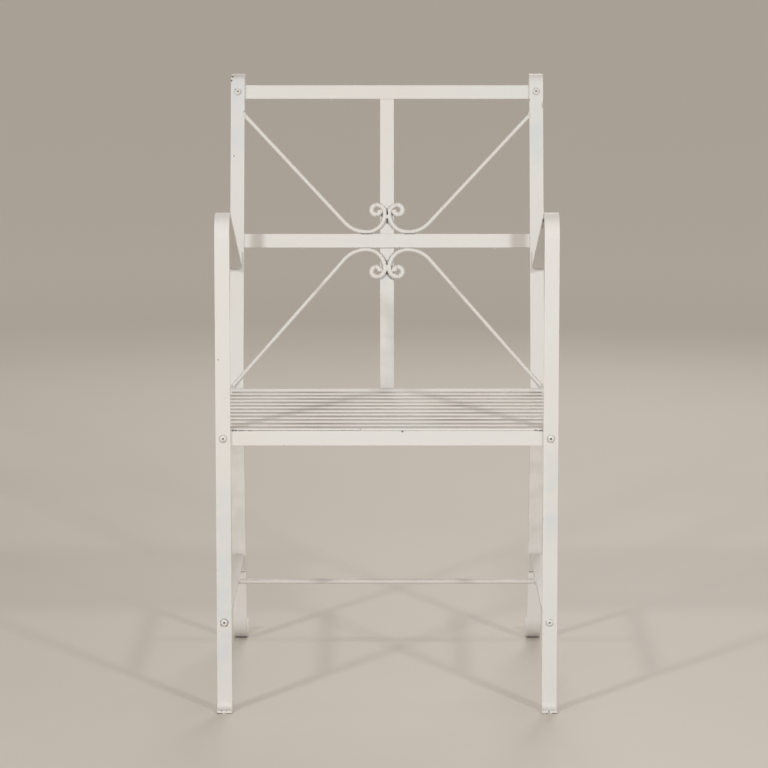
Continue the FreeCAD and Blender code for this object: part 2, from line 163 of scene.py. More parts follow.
def ringBead(centre, firstAxis, secondAxis, radius, seed=1):
    # centre(t) = middle + first axis * cos(t) + second axis * sin(t);
    # radius(t) = radius * (1 + ripples + lumps)
    first, second = np.asarray(firstAxis, float), np.asarray(secondAxis, float)
    length = 2 * math.pi * (np.linalg.norm(first) + np.linalg.norm(second)) / 2
    ripples = max(8, round(length / weldBead["ripplePitch"]))
    count = ripples * weldBead["stepsPerRipple"]
    t = np.arange(count) / count * 2 * math.pi
    centres = np.asarray(centre, float) + np.cos(t)[:, None] * first + np.sin(t)[:, None] * second
    swell = 1 + weldBead["rippleDepth"] * np.cos(t * ripples)
    swell += weldBead["lumps"] * (np.sin(t * 2 + seed) + np.sin(t * 3 + 2 * seed)) / 2
    return tube(centres, radius * swell, weldBead["ringSquash"], np.cross(first, second), weldBead["around"],
                closed=True)


# The scrolled rods' line, as in the solids: outwards (a) and away from the middle rail (b)

scrollRod = {"radius": 3.0, "startOut": 32.6, "onRail": 14.0, "sweepRadius": 46.0, "planeBack": -0.5,
             "eyeRadii": (29.6, 13.7, 8.3, 7.6, 6.5), "lastTurn": 95.0, "upperEnd": (225.0, 200.288),
             "lowerEnd": (241.0, 229.681), "tip": 1.1156}


def scrollPath(spacing=4.0):
    # points (a, b) along the bends to the tip, the quarter turns made at each, the heading at the tip and
    # the middle of the last bend: point = start + radius * (sine and cosine of its heading, less those at
    # the bend's start)
    a, b, heading = scrollRod["startOut"], scrollRod["onRail"], math.pi
    turns = [math.radians(-90)] * 4 + [math.radians(-scrollRod["lastTurn"])]
    found, turned = [], []
    for number, (radius, turn) in enumerate(zip(scrollRod["eyeRadii"], turns)):
        part = np.linspace(0, 1, 1 + round(abs(math.degrees(turn)) / spacing))[(number > 0):]
        middle = (a + radius * math.sin(heading), b - radius * math.cos(heading))
        bendA = middle[0] - radius * np.sin(heading + turn * part)
        bendB = middle[1] + radius * np.cos(heading + turn * part)
        found.append(np.stack([bendA, bendB], -1))
        turned.append(number + part * abs(turn) / math.radians(90))
        a, b, heading = bendA[-1], bendB[-1], heading + turn
    return np.concatenate(found), np.concatenate(turned), heading, np.array(middle)


def rodEnd(away):
    # where a rod's straight ends (a, b), and the heading of the line from there that touches the sweep
    a, b = scrollRod["upperEnd" if away > 0 else "lowerEnd"]
    reach, rise = a - scrollRod["startOut"], b - scrollRod["onRail"] - scrollRod["sweepRadius"]
    return a, b, math.atan2(rise, reach) + math.asin(scrollRod["sweepRadius"] / math.hypot(reach, rise))


def onRod(side, away, a, b, forward=0.0):
    # a point of a scrolled rod's plane; the lower rods' plane is tipped forward about the middle rail's edge
    back = scrollRod["planeBack"] - forward
    if away < 0:
        tip = math.radians(scrollRod["tip"])
        fall = np.asarray(b, float) - scrollRod["onRail"]
        back, b = back - fall * math.sin(tip), scrollRod["onRail"] + fall * math.cos(tip)
    return onBack(side * np.asarray(a, float), back, backPlane["midRailUp"] + away * np.asarray(b, float))


# Materials

class Shading:
    # a material's nodes, each added with what feeds it
    def __init__(self, name):
        self.material = bpy.data.materials.new(name)
        self.material.use_nodes = True
        self.tree = self.material.node_tree
        self.tree.nodes.clear()
        self.place = self.add("TexCoord", output="Object")

    def add(self, kind, feeds=None, output=0, **settings):
        node = self.tree.nodes.new("ShaderNode" + kind)
        for key, value in settings.items():
            setattr(node, key, value)
        for key, value in (feeds or {}).items():
            if isinstance(value, bpy.types.NodeSocket):
                self.tree.links.new(value, node.inputs[key])
            else:
                node.inputs[key].default_value = value
        return node.outputs[output] if node.outputs else None

    def math(self, operation, *values, clamp=False):
        return self.add("Math", dict(enumerate(values)), operation=operation, use_clamp=clamp)

    def times(self, value, factor, clamp=False):
        return self.math("MULTIPLY", value, factor, clamp=clamp)

    def timesPlus(self, value, factor, more):
        # value * factor + more
        return self.math("MULTIPLY_ADD", value, factor, more)

    def vector(self, operation, *values, output=0):
        return self.add("VectorMath", dict(enumerate(values)), output=output, operation=operation)

    def ramp(self, value, low, high, smooth=True):
        # 0 below low, 1 above high; low may be the larger
        return self.add("MapRange", {0: value, 1: low, 2: high}, clamp=True,
                        interpolation_type="SMOOTHSTEP" if smooth else "LINEAR")

    def noise(self, scale, detail=3.0, rough=0.55, where=None):
        return self.add("TexNoise", {"Vector": where or self.place, "Scale": scale, "Detail": detail,
                                     "Roughness": rough})

    def stretched(self, scales, turn=0.0):
        return self.add("Mapping", {"Vector": self.place, "Scale": scales,
                                    "Rotation": (math.radians(turn), 0, 0)}, vector_type="POINT")

    def blend(self, part, first, second, way="MIX"):
        return self.add("Mix", {0: part, 6: first, 7: second}, output=2, data_type="RGBA", blend_type=way)

    def coordinate(self, axis, where=None):
        return self.add("SeparateXYZ", {0: where or self.place}, output=axis)

    def normal(self, axis):
        return self.coordinate(axis, self.add("NewGeometry", output="Normal"))

    def front(self):
        # 1 on the faces that look forwards, 0 on the others
        return self.math("LESS_THAN", self.normal(1), -0.3)

    def distance(self, where, point):
        return self.vector("DISTANCE", where, tuple(v * mm for v in point), output="Value")

    def near(self, points, radius, where, soft=0.25):
        # the largest of the soft spots round the points, each (x, y, z) or (x, y, z, its own radius)
        found = None
        for point in points:
            size = point[3] if len(point) > 3 else radius
            away = self.distance(where, point[:3])
            found = self.most(found, self.ramp(away, size * mm * (1 + soft), size * mm * (1 - soft)))
        return found

    def inside(self, boxes, soft, where):
        # the largest of the soft boxes, each (middle, half sizes, strength), which fade beyond their sides
        found = None
        for middle, half, strength in boxes:
            off = self.vector("ABSOLUTE", self.vector("SUBTRACT", where, tuple(v * mm for v in middle)))
            off = self.vector("SUBTRACT", off, tuple(v * mm for v in half))
            sides = self.coordinate(0, off).node.outputs
            beyond = self.most(*sides)
            found = self.most(found, self.times(self.ramp(beyond, soft * mm, 0.0), strength))
        return found

    def most(self, *masks):
        # the largest of the masks that are there
        masks = [mask for mask in masks if mask is not None]
        found = masks[0]
        for mask in masks[1:]:
            found = self.math("MAXIMUM", found, mask)
        return found

    def surface(self, colour, roughness, specular, **more):
        shader = self.add("BsdfPrincipled", {"Base Color": colour, "Roughness": roughness,
                                             "Specular IOR Level": specular, **more})
        self.add("OutputMaterial", {"Surface": shader})
        return self.material


paint = {
    "cream": (0.752, 0.735, 0.708, 1), "warm": (0.756, 0.727, 0.688, 1), "cool": (0.735, 0.734, 0.724, 1),
    "blue": (0.655, 0.676, 0.684, 1), "fresh": (0.880, 0.852, 0.820, 1), "edge": (0.800, 0.778, 0.742, 1),
    "grime": (0.360, 0.315, 0.260, 1), "dust": (0.300, 0.266, 0.230, 1), "soil": (0.232, 0.184, 0.158, 1),
    "gap": (0.050, 0.043, 0.036, 1), "bare": (0.052, 0.046, 0.040, 1), "rust": (0.260, 0.150, 0.085, 1),
    "streak": (0.60, 0.58, 0.55, 1), "clean": (1, 1, 1, 1),
}

# Noise scales are waves in a metre. A ramp is the part of the noise where a mask starts and where it is full.
clouds = {"warmScale": 6.0, "warmRamp": (0.36, 0.68), "coolScale": 3.7, "coolStretch": (1.3, 0.8, 0.9),
          "coolRamp": (0.46, 0.76), "coolStrength": 0.8, "streakStrength": 0.07}
patches = {"radius": 20.0, "soft": 0.9, "scale": 38.0, "ramp": (0.20, 0.62), "strength": 0.8}


def basePaint(s, look, streak):
    # cream, clouded warm and cool and streaked by the brush, lighter all over where a paint asks for it (the
    # slats, and the bolt heads as a painted highlight), patches of bluish paint, which low on the left leg
    # are painted shade, and patches of painted light
    warm = s.ramp(s.noise(clouds["warmScale"], 2.0), *clouds["warmRamp"])
    colour = s.blend(warm, paint["cream"], paint["warm"])
    cool = s.noise(clouds["coolScale"], 2.0, where=s.stretched(clouds["coolStretch"]))
    cool = s.times(s.ramp(cool, *clouds["coolRamp"]), clouds["coolStrength"])
    colour = s.blend(cool, colour, paint["cool"])
    streaked = s.blend(streak, paint["streak"], paint["clean"])
    colour = s.blend(clouds["streakStrength"], colour, streaked, way="MULTIPLY")
    if look["bright"]:
        colour = s.blend(look["bright"], colour, paint["edge"])
    for tint in ("blue", "fresh"):
        if look[tint]:
            spots = s.near(look[tint], patches["radius"], s.place, patches["soft"])
            broken = s.ramp(s.noise(patches["scale"]), *patches["ramp"])
            patch = s.times(s.times(spots, broken), patches["strength"])
            colour = s.blend(patch, colour, paint[tint])
    return colour


# the long edges: lighter, for thinner paint and as a painted highlight, and flakes of paint off them
edgeWear = {"starts": 1.6, "full": 0.2, "scale": 60.0, "ramp": (0.30, 0.62), "strength": 0.5,
            "flakeScale": 95.0, "flakeDetail": 5.0, "flakeRough": 0.72, "flakeRamp": (0.72, 0.735),
            "flakeEdge": (0.55, 0.85)}


def barEdges(axis, centre, flakes, **more):
    # a bar's long edges: the axis across it, its middle on that axis and how much paint they have lost
    return {"axis": axis, "centre": centre, "half": barSize["width"] / 2, "flakes": flakes, **more}


def edgeMask(s, edges):
    # 0 on the flat of a bar and 1 along its long edges, for one bar, for a pair or for the row of slats
    across = s.coordinate(edges["axis"], s.stretched((1, 1, 1), edges.get("turn", 0.0)))
    if edges.get("pair"):
        across = s.math("ABSOLUTE", across)
    across = s.math("SUBTRACT", across, edges["centre"] * mm)
    if "pitch" in edges:
        across = s.math("PINGPONG", across, edges["pitch"] / 2 * mm)
    else:
        across = s.math("ABSOLUTE", across)
    return s.ramp(across, (edges["half"] - edgeWear["starts"]) * mm, (edges["half"] - edgeWear["full"]) * mm)


# the film of dust, with painted shade that darkens the faces that look up: from which upward slope, and its
# pattern's scales along x, y and z
plainDust = {"amount": 0.3, "lines": (1.5, 40.0, 1.0), "from": 0.55, "colour": "dust", "slats": None}
film = {"slope": 0.40, "ramp": (0.30, 0.70), "soft": 0.62, "fine": 0.45, "least": 0.02, "finer": 4.0}
slatFilm = {"slatStep": 0.83, "alongScale": 5.0, "alongRamp": (0.34, 0.66), "along": (0.40, 0.80),
            "power": 1.1, "back": (0.18, 0.50), "all": (0.12, 0.22), "fine": 0.04, "aside": 105.0,
            "asideReach": 85.0}


def slatDust(s, slats, fine):
    # painted shade and soil on the slats' tops, darkest towards each back edge
    # film = fine + along * (back ^ power * at the back edge + all over), with back from 0 at a slat's front
    # edge to 1 at its back edge, and the last two larger in two places along the seat
    half, pitch = slats["half"] * mm, slats["pitch"] * mm
    back = s.math("SUBTRACT", s.coordinate(1), slats["centre"] * mm)
    number = s.math("FLOOR", s.timesPlus(back, 1 / pitch, 0.5))
    back = s.ramp(s.math("WRAP", back, pitch / 2, -pitch / 2), -half, half, smooth=False)
    place = s.add("CombineXYZ", {0: s.coordinate(0), 1: s.times(number, slatFilm["slatStep"])})
    along = s.ramp(s.noise(slatFilm["alongScale"], 1.0, 0.4, where=place), *slatFilm["alongRamp"])
    along = s.timesPlus(along, *slatFilm["along"])
    aside = s.math("SUBTRACT", s.math("ABSOLUTE", s.coordinate(0)), slatFilm["aside"] * mm)
    worse = s.ramp(s.math("ABSOLUTE", aside), slatFilm["asideReach"] * mm, 0.0)
    deep = s.timesPlus(s.math("POWER", back, slatFilm["power"]), s.timesPlus(worse, *slatFilm["back"]),
                       s.timesPlus(worse, *slatFilm["all"]))
    return s.timesPlus(fine, slatFilm["fine"], s.times(along, deep))


def dustMask(s, dust):
    # long soft patches with finer ones among them, or the slats' own film, on the faces that look up: dust,
    # and painted shade for the less light that tops get
    up = s.ramp(s.normal(2), dust["from"], dust["from"] + film["slope"])
    fine = s.stretched(tuple(film["finer"] * scale for scale in dust["lines"]))
    fine = s.noise(1.0, 3.0, 0.6, where=fine)
    if dust["slats"]:
        found = slatDust(s, dust["slats"], fine)
    else:
        lines = s.ramp(s.noise(1.0, 3.0, 0.6, where=s.stretched(dust["lines"])), *film["ramp"])
        found = s.timesPlus(fine, film["fine"], film["least"])
        found = s.timesPlus(lines, film["soft"], found)
    return s.times(s.times(up, found), dust["amount"], clamp=True)


cracking = {"scale": 190.0, "ramp": (0.34, 0.56)}


def crack(middle, radius, dark, low=0.0, high=1000.0, half=0.95):
    # a ring of painted shade, with grime at the bolt heads: its middle and radius, how dark it is, its lowest
    # and highest point and half its width
    return middle, radius, dark, low, high, half


def crackMask(s, cracks, where, frontOnly):
    # broken dark rings of painted shade, with some grime
    height, found = s.coordinate(2), None
    for middle, radius, dark, low, high, half in cracks:
        off = s.math("SUBTRACT", s.distance(where, middle), radius * mm)
        line = s.times(s.ramp(s.math("ABSOLUTE", off), half * mm, half / 4 * mm), dark)
        kept = s.times(s.math("GREATER_THAN", height, low * mm), s.math("LESS_THAN", height, high * mm))
        found = s.most(found, s.times(line, kept))
    if frontOnly:
        found = s.times(found, s.front())
    return s.times(found, s.ramp(s.noise(cracking["scale"], 3.0, 0.6), *cracking["ramp"]))


# how far a mark's outline wanders, how large and soft it is, and the ramps over the specks that break it up
marks = {"wanderScale": 420.0, "wander": 2.6, "speckScale": 260.0, "dirtScale": 22.0,
         "seamSoft": 0.8, "seamSpecks": (0.25, 0.50),
         "smudgeSoft": 14.0, "smudgeScale": 60.0, "smudgeSpread": (0.4, 0.8),
         "grimeRadius": 3.0, "grimeSpecks": (0.30, 0.55), "grimeStrength": 0.65,
         "gapRadius": 1.2, "gapSoft": 0.4, "gapStrength": 0.9,
         "chipRadius": 1.2, "wornSpecks": (0.36, 0.50), "rustSpecks": (0.45, 0.62)}
finish = {"roughness": 0.42, "roughnessSpread": 0.12, "roughnessScale": 48.0, "dull": 0.35,
          "chipRoughness": 0.25, "chipDepth": 0.10, "waveScale": 34.0, "waveHeight": 0.10,
          "streakHeight": 0.022, "peelScale": 700.0, "peelHeight": 0.010, "specular": 0.45, "ior": 1.5}


def markPaint(s, look, colour, ragged, speck):
    # dark seams, mostly painted shade at joints, painted shadow bands on the front, grime with painted shade,
    # and open gaps darkened as painted shade, each in its places
    if look["seams"]:
        seam = s.inside(look["seams"], marks["seamSoft"], ragged)
        seam = s.times(seam, s.ramp(speck, *marks["seamSpecks"]))
        colour = s.blend(seam, colour, paint["gap"])
    if look["smudges"]:
        uneven = s.timesPlus(s.noise(marks["smudgeScale"]), *marks["smudgeSpread"])
        smudge = s.times(s.inside(look["smudges"], marks["smudgeSoft"], s.place), uneven)
        colour = s.blend(s.times(smudge, s.front(), clamp=True), colour, paint["grime"])
    if look["grime"]:
        # grime, and painted shade where parts meet
        dirt = s.near(look["grime"], marks["grimeRadius"], ragged)
        dirt = s.times(dirt, s.ramp(speck, *marks["grimeSpecks"]))
        colour = s.blend(s.times(dirt, marks["grimeStrength"]), colour, paint["grime"])
    if look["gaps"]:
        gap = s.near(look["gaps"], marks["gapRadius"], ragged, marks["gapSoft"])
        colour = s.blend(s.times(gap, marks["gapStrength"]), colour, paint["gap"])
    return colour


def chipMask(s, look, edge, ragged, speck):
    # chips in their places, flakes off the long edges, and what is worn off at the floor, with painted
    # contact shade there
    chip = s.near(look["chips"], marks["chipRadius"], ragged) if look["chips"] else None
    if edge is not None:
        flakes = s.noise(edgeWear["flakeScale"], edgeWear["flakeDetail"], edgeWear["flakeRough"])
        flakes = s.ramp(flakes, *(limit - look["edges"]["flakes"] for limit in edgeWear["flakeRamp"]))
        chip = s.most(chip, s.times(flakes, s.ramp(edge, *edgeWear["flakeEdge"])))
    if look["worn"]:
        gone = s.ramp(s.coordinate(2, ragged), *(height * mm for height in look["worn"]))
        chip = s.most(chip, s.times(gone, s.ramp(speck, *marks["wornSpecks"])))
    return chip


# What a paint is unless it says otherwise. The streaks are the scales of the brush marks along x, y and z,
# frontOnly keeps the rings of painted shade off the other faces, and worn is the height where the paint
# starts to be worn off, with painted contact shade, and where it is gone.
plainPaint = {"streaks": (60, 60, 60), "edges": None, "gloss": 1.0, "bright": 0.0, "dirty": 0.0, "dust": None,
              "blue": (), "fresh": (), "cracks": (), "frontOnly": False, "seams": (), "smudges": (),
              "grime": (), "gaps": (), "chips": (), "worn": None}


def paintMaterial(name, **settings):
    # colour = base paint, then dirt, lighter edges with a painted highlight, dust with painted shade, rings
    # of painted shade, marks and chips over it;
    # height = slow waves + brush streaks + fine peel - chips
    look = {**plainPaint, **settings}
    s = Shading(name)
    streak = s.noise(1.0, 4.0, 0.6, where=s.stretched(look["streaks"]))
    wander = s.add("TexNoise", {"Vector": s.place, "Scale": marks["wanderScale"], "Detail": 2.0},
                   output="Color")
    wander = s.vector("SUBTRACT", wander, (0.5, 0.5, 0.5))
    wander = s.add("VectorMath", {0: wander, "Scale": marks["wander"] * mm}, operation="SCALE")
    ragged = s.vector("ADD", s.place, wander)
    speck = s.noise(marks["speckScale"], 4.0, 0.7)
    colour = basePaint(s, look, streak)
    if look["dirty"]:
        dirt = s.timesPlus(s.noise(marks["dirtScale"]), look["dirty"], look["dirty"] / 2)
        colour = s.blend(dirt, colour, paint["dust"])
    edge = None
    if look["edges"]:
        edge = edgeMask(s, look["edges"])
        # the long edges lighter: thinner paint and a painted highlight
        thin = s.times(edge, s.ramp(s.noise(edgeWear["scale"]), *edgeWear["ramp"]))
        colour = s.blend(s.times(thin, edgeWear["strength"]), colour, paint["edge"])
    # dust and painted shade darken the faces that look up
    if look["dust"]:
        dust = {**plainDust, **look["dust"]}
        colour = s.blend(dustMask(s, dust), colour, paint[dust["colour"]])
    if look["cracks"]:
        colour = s.blend(crackMask(s, look["cracks"], ragged, look["frontOnly"]), colour, paint["gap"])
    colour = markPaint(s, look, colour, ragged, speck)
    height = s.times(s.noise(finish["waveScale"], 1.5), finish["waveHeight"] * look["gloss"] * mm)
    height = s.timesPlus(streak, finish["streakHeight"] * mm, height)
    height = s.timesPlus(s.noise(finish["peelScale"], 1.0), finish["peelHeight"] * mm, height)
    smoothest = finish["roughness"] - finish["roughnessSpread"] + finish["dull"] * (1 - look["gloss"])
    rough = s.timesPlus(s.noise(finish["roughnessScale"]), finish["roughnessSpread"] * 2, smoothest)
    chip = chipMask(s, look, edge, ragged, speck)
    if chip is not None:
        metal = s.blend(s.ramp(speck, *marks["rustSpecks"]), paint["bare"], paint["rust"])
        colour = s.blend(chip, colour, metal)
        height = s.timesPlus(chip, -finish["chipDepth"] * mm, height)
        rough = s.timesPlus(chip, finish["chipRoughness"], rough)
    bump = s.add("Bump", {"Height": height, "Strength": 1.0, "Distance": 1.0})
    return s.surface(colour, rough, finish["specular"] * look["gloss"], Normal=bump, IOR=finish["ior"])


# Screws: where their heads bear, and which way the heads point in the side plane, in degrees

boltSize = {"tailEnd": 18.6, "nutEnd": 16.6, "shankRadius": 3.0, "pitch": 1.0, "ridge": 0.32,
            "startPast": 0.1, "endShort": 0.75, "steps": 60, "fade": 1.2, "thinnest": 0.12}
lean = math.radians(backPlane["lean"])
armTabUp = (610.0 - backPlane["z"] - 5.0 * math.sin(lean)) / math.cos(lean)
topBolt = onBack(barSize["postX"], -2.5, backPlane["topRailUp"])
armBolt = onBack(barSize["tabX"], -7.5, armTabUp + 15.0)
boltPlaces = {
    "top_rail": (*topBolt, 166.0),
    "arm": (*armBolt, 166.0),
    "seat_front": (barSize["legX"], -268.09, seatRail["frontZ"], 180.0),
    "seat_rear": (barSize["postX"], 131.91, seatRail["rearZ"], 0.0),
    "stretcher_front": (barSize["legX"], -268.09, 134.0, 180.0),
    "stretcher_rear": (barSize["tabX"], 189.756, 134.0, 12.3),
}


def boltAxis(joint, side):
    # the middle of the bearing face and the direction in which the head points
    x, y, z, heading = boltPlaces[joint]
    turn = math.radians(heading)
    return np.array([side * x, y, z]), np.array([0.0, math.cos(turn), math.sin(turn)])


def boltThread(point, outward):
    # centre(t) = axis + shank radius * (first * cos(t) + second * sin(t))
    #             - outward * (nut end + pitch * t / turn)
    first = np.array([1.0, 0, 0])
    second = np.cross(outward, first)
    run = boltSize["tailEnd"] - boltSize["nutEnd"] - boltSize["endShort"]
    t = np.linspace(0, run / boltSize["pitch"] * 2 * math.pi, boltSize["steps"])
    along = boltSize["nutEnd"] + boltSize["startPast"] + t / (2 * math.pi) * boltSize["pitch"]
    centres = (point + boltSize["shankRadius"] * (np.cos(t)[:, None] * first + np.sin(t)[:, None] * second)
               - along[:, None] * outward)
    fade = np.clip(np.minimum(t, t[-1] - t) / boltSize["fade"], boltSize["thinnest"], 1)
    return tube(centres, boltSize["ridge"] * fade, 1.0, outward, 6)


everyBolt = [boltAxis(joint, side) for joint in boltPlaces for side in (-1, 1)]


# Places of the marks in the paint

def headCracks(*joints):
    # the dark ring round each head, painted shade at the head's side with some grime, darkest at the left
    # stretcher's
    found = []
    for joint in joints:
        for side in (-1, 1):
            point, outward = boltAxis(joint, side)
            dark = 0.90 if joint == "stretcher_front" and side < 0 else 0.34
            found.append(crack(tuple(point + 0.4 * outward), 5.7, dark))
    return found


def scrollCracks(side, away, outerDark=0.50, outerWidth=0.95):
    # painted contact shade on the strip along both sides of the scroll's first two bends, each only over its
    # own quarter turn
    first, second = scrollRod["eyeRadii"][:2]
    found = []
    for a, radius, beyond in ((scrollRod["startOut"], first, False),
                              (scrollRod["startOut"] - first + second, second, True)):
        middle = onRod(side, away, a, scrollRod["onRail"] + first, -3.0)
        low, high = (middle[2], 1000.0) if beyond == (away > 0) else (0.0, middle[2])
        dark, half = (outerDark, outerWidth) if beyond else (0.50, 0.95)
        found.append(crack(middle, radius - 3.9, 0.50, low, high))
        found.append(crack(middle, radius + 3.7 + half / 2, dark, low, high, half))
    return found


# a bare place and then a dark line along the underside of the right armrest, just behind its bend
armUnderside = {"y": -185.6, "z": 716.6, "slope": -0.3077, "boxHalf": (0.7, 4.0, 1.9)}


def underArm(x, dark, depths):
    return [((x, y, armUnderside["z"] + armUnderside["slope"] * (y - armUnderside["y"])),
             armUnderside["boxHalf"], dark) for y in depths]


def onRearLeg(z):
    # y near the front of the rear leg at this height
    return 131.9 + (412.0 - z) * 0.208


# painted shade at the ends of the joint between the front rail and the first slat
frontGaps = [((-222.5, -261.5, 418.9), (3.0, 2.4, 0.6), 0.75),
             ((-212.0, -261.5, 418.7), (4.5, 2.4, 0.3), 0.6),
             ((-199.5, -261.5, 418.6), (2.6, 2.4, 0.2), 0.55),
             ((217.5, -261.5, 418.9), (2.2, 2.4, 0.5), 0.6),
             ((224.5, -261.5, 418.7), (2.6, 2.4, 0.4), 0.7)]
# painted shade in the crease where a left and a right scroll touch, above and below the middle rail
eyeSeams = [((0.4, 195.5, 693.6), (0.7, 8.0, 2.6), 1.0), ((-0.5, 179.0, 617.0), (0.3, 8.0, 2.2), 0.8)]

# Paint for each kind of part, with its marks as (x, y, z) or (x, y, z, radius), and seams and bands of
# painted shadow as (middle, half sizes, strength). The brush ran along the bars: back and up at the sides,
# across elsewhere.
alongSides, across = (420, 14, 14), (14, 420, 420)

legPaint = paintMaterial(
    "legPaint", streaks=alongSides, edges=barEdges(0, barSize["legX"], 0.02, pair=True), gloss=0.75,
    dust={"amount": 0.3}, cracks=headCracks("seat_front", "stretcher_front"), worn=(1.9, 0.5),
    chips=[(228.6, -205.0, 722.8, 1.8), (229.4, -189.0, 717.8, 1.0), (229.2, -158.0, 708.1, 0.9),
           (-245.6, legFace, 523.6, 0.7), (-241.9, legFace, 410.8, 0.6), (-243.5, toeTip, 4.6, 1.0),
           (-236.0, toeTip, 4.9, 0.7), (238.2, toeTip, 3.2, 0.9), (-249.6, -267.0, 212.0, 1.0),
           (249.7, -266.0, 612.0, 0.9), (-228.3, -80.0, 691.0, 1.2)],
    # bluish patches; the large ones low on the left leg are painted shade
    blue=[(237.9, legFace, 372.0, 16.0), (242.0, legFace, 345.0, 16.0), (-240.0, legFace, 290.0, 42.0),
          (-240.0, legFace, 230.0, 46.0), (-240.0, legFace, 160.0, 46.0), (-240.0, legFace, 95.0, 46.0),
          (239.0, legFace, 285.0, 24.0)],
    seams=underArm(229.0, 0.95, (-203.0, -196.0, -189.0))
    + underArm(229.9, 0.5, (-180.0, -171.0, -162.0, -153.0, -144.0)))
postPaint = paintMaterial(
    "postPaint", streaks=alongSides, edges=barEdges(0, barSize["postX"], 0.02, pair=True),
    dust={"amount": 0.3}, cracks=headCracks("top_rail", "seat_rear"), worn=(1.6, 0.3),
    chips=[(-244.6, 250.0, 905.5, 2.2), (-241.0, 251.5, 906.5, 1.4), (-246.2, 244.8, 899.0, 1.6),
           (225.2, 237.1, 869.2, 1.0), (-241.5, 215.3, 781.6, 0.8), (246.9, 236.4, 866.0, 1.3),
           (246.9, 234.0, 857.0, 1.1)],
    grime=[(246.8, 235.0, 861.0, 3.0), (-225.2, 232.6, 850.0, 2.2)],
    blue=[(-237.0, 241.0, 888.0, 24.0), (-236.0, 236.5, 866.0, 20.0), (-233.0, 233.0, 846.0, 12.0),
          (-236.0, 224.0, 812.0, 26.0), (236.0, 224.0, 815.0, 40.0)],
    # patches of painted light on the rear legs under the seat
    fresh=[(side * barSize["postX"], onRearLeg(z), z, 34.0)
           for side in (-1, 1) for z in (330.0, 275.0, 220.0, 165.0)],
    # painted shade below the ends of the stretchers' tabs
    seams=[((side * 230.6, 188.0, 118.8), (2.5, 1.8, 0.6), 0.85) for side in (-1, 1)])
stripPaint = paintMaterial(
    "stripPaint", streaks=alongSides, edges=barEdges(0, 0.0, 0.015), frontOnly=True,
    chips=[(10.9, 158.8, 533.0, 0.8)], blue=[(2.0, 170.0, 590.0, 14.0)],
    # patches of painted light low on the strip
    fresh=[(0.0, 150.0, 500.0, 30.0), (0.0, 140.0, 455.0, 26.0)],
    # painted shade in the gaps at the eye tips and in the creases between the scrolls
    gaps=[(-7.9, 198.3, 693.0, 1.6), (-7.9, 197.5, 690.0, 1.9), (-7.6, 196.8, 687.2, 1.4),
          (8.8, 198.7, 694.4, 1.6), (8.8, 197.8, 690.8, 1.9),
          (7.6, 178.0, 611.0, 1.2), (8.4, 176.8, 606.3, 1.7)],
    seams=[((0.4, 198.3, 693.9), (1.0, 3.0, 2.3), 1.0), ((0.4, 195.2, 680.0), (1.0, 3.0, 3.4), 1.0),
           ((-0.5, 179.6, 617.6), (0.6, 3.0, 2.4), 0.9), ((-0.5, 175.6, 601.6), (0.9, 3.0, 2.6), 1.0)],
    cracks=scrollCracks(-1, 1) + scrollCracks(1, 1) + scrollCracks(-1, -1) + scrollCracks(1, -1, 1.0, 1.9))
stretcherPaint = paintMaterial(
    "stretcherPaint", streaks=alongSides, edges=barEdges(0, barSize["legX"], 0.03, pair=True),
    dust={"amount": 0.18, "lines": (40.0, 2.0, 1.0)},
    # painted shade at the joints where the cross rod meets the stretchers
    grime=[(-229.5, -24.0, 150.2, 2.0), (229.5, -24.0, 150.2, 2.0)])
topRailPaint = paintMaterial(
    "topRailPaint", streaks=across, edges=barEdges(2, 913.75, 0.015, turn=backPlane["lean"]),
    dust={"amount": 0.4})
middleRailPaint = paintMaterial(
    "middleRailPaint", streaks=across, edges=barEdges(2, 675.46, 0.015, turn=backPlane["lean"]),
    dust={"amount": 0.3},
    # painted shadow: dark bands down the middle rail near the posts
    smudges=[((-204.5, 182.6, 650.0), (3.0, 6.0, 16.0), 0.62),
             ((207.5, 182.6, 650.0), (5.5, 6.0, 16.0), 0.60)],
    # painted shade where the scrolled rods meet the rail's edges
    seams=[((-32.0, 184.4, 660.9), (9.5, 2.6, 0.25), 0.65), ((36.5, 184.4, 660.9), (8.5, 2.6, 0.25), 0.60),
           ((-30.0, 181.0, 639.2), (5.0, 2.2, 0.3), 0.40), ((30.0, 181.0, 639.2), (11.0, 2.2, 0.3), 0.45)])
frontRailPaint = paintMaterial(
    "frontRailPaint", streaks=across, edges=barEdges(2, seatRail["frontZ"], 0.02), dust={"amount": 0.5},
    chips=[(22.6, -262.9, 417.6, 1.25), (21.6, -262.4, 418.3, 0.9), (-150.0, -262.9, 397.0, 0.7)],
    # painted shade in the joint along the rail's top
    seams=frontGaps + [((-120.0, -260.6, 418.5), (80.0, 0.35, 0.6), 0.45)])
rearRailPaint = paintMaterial(
    "rearRailPaint", streaks=across, edges=barEdges(2, seatRail["rearZ"], 0.03), dust={"amount": 0.6})
sideRailPaint = paintMaterial(
    "sideRailPaint", streaks=(420, 14, 420), edges=barEdges(2, seatRail["frontZ"], 0.03))
